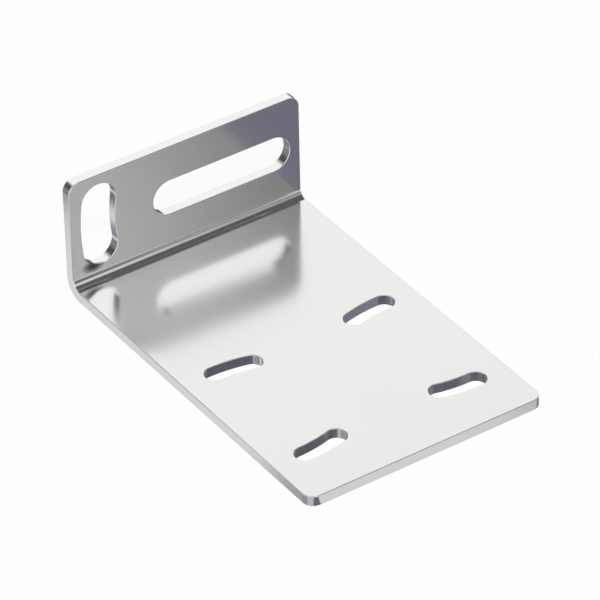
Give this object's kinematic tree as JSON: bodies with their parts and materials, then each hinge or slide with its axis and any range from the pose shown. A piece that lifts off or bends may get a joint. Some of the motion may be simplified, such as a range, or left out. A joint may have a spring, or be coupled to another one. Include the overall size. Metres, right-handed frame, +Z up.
{
  "type": "sensor mounting bracket",
  "caption": "Right-angle sheet-steel bracket: a flat base with curved slots for a sensor's screws, and a low flange with a level slot and a curved slot for fixing and aligning it.",
  "frame": {"origin": "on the underside, in the middle of the base's outline", "axes": "+X along the bend, towards the far end of the level slot; +Y from the front edge towards the flange; +Z up"},
  "size_m": [0.045, 0.07, 0.0222],
  "materials": {
    "bright_steel": "bright, smooth, satin"
  },
  "bodies": {
    "root": {"bracket": "bright_steel"}
  },
  "joints": []
}
